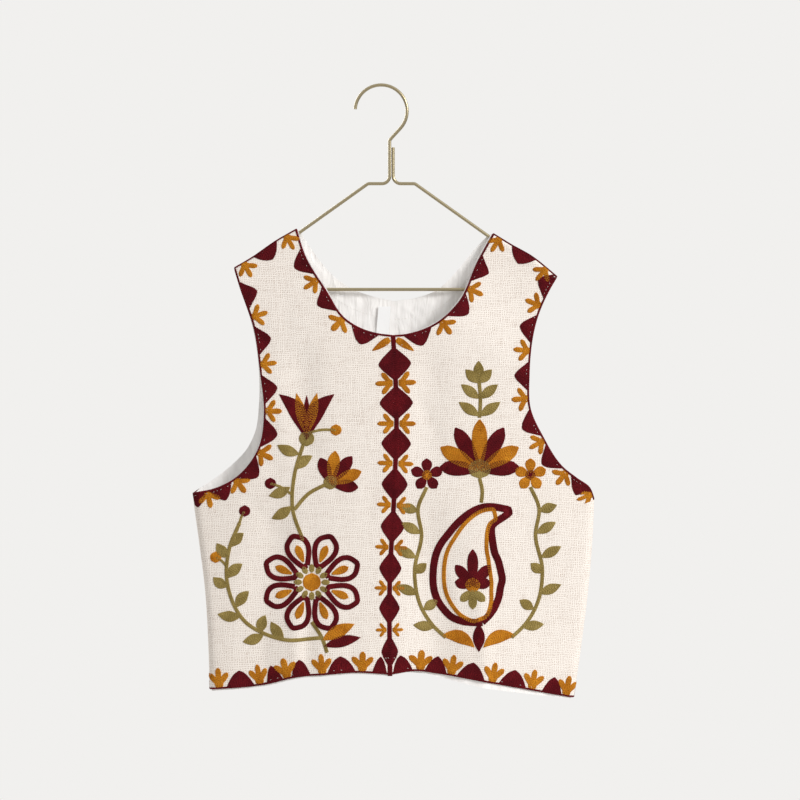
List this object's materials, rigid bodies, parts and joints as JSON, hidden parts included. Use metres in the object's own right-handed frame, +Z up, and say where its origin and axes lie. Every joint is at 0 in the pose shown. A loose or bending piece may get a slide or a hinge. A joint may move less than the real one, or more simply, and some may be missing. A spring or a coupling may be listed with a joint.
{
  "type": "embroidered waistcoat on a wire hanger",
  "caption": "Sleeveless, collarless lined cotton waistcoat with chain-stitch borders and flower motifs, hung by its shoulders on a bent wire hanger.",
  "frame": {"origin": "inner top of the hanger's hook, where a rail or a pin carries it", "axes": "+Z up, the front faces -Y, the wearer's left is at +X, and the hanger lies in the plane Y = 0"},
  "size_m": [0.4678, 0.0556, 0.717],
  "materials": {
    "cream_cotton": "slubby hand-woven cream cotton, with burgundy, ochre and olive chain-stitch embroidery",
    "white_lining": "thin crinkled white cotton",
    "label_ribbon": "smooth white ribbon, blank",
    "brassed_wire": "dull brass-coloured wire"
  },
  "bodies": {
    "root": {"front_right": "cream_cotton", "front_left": "cream_cotton", "back": "cream_cotton", "back_side_right": "cream_cotton", "back_side_left": "cream_cotton", "back_chest": "cream_cotton", "back_shoulder_right": "cream_cotton", "back_shoulder_left": "cream_cotton", "lining_front_right": "white_lining", "lining_front_left": "white_lining", "lining_back": "white_lining", "label": "label_ribbon", "hanger_hook": "brassed_wire", "hanger_strand": "brassed_wire", "hanger_arm_left": "brassed_wire", "hanger_arm_right": "brassed_wire", "hanger_bar": "brassed_wire"}
  },
  "joints": []
}
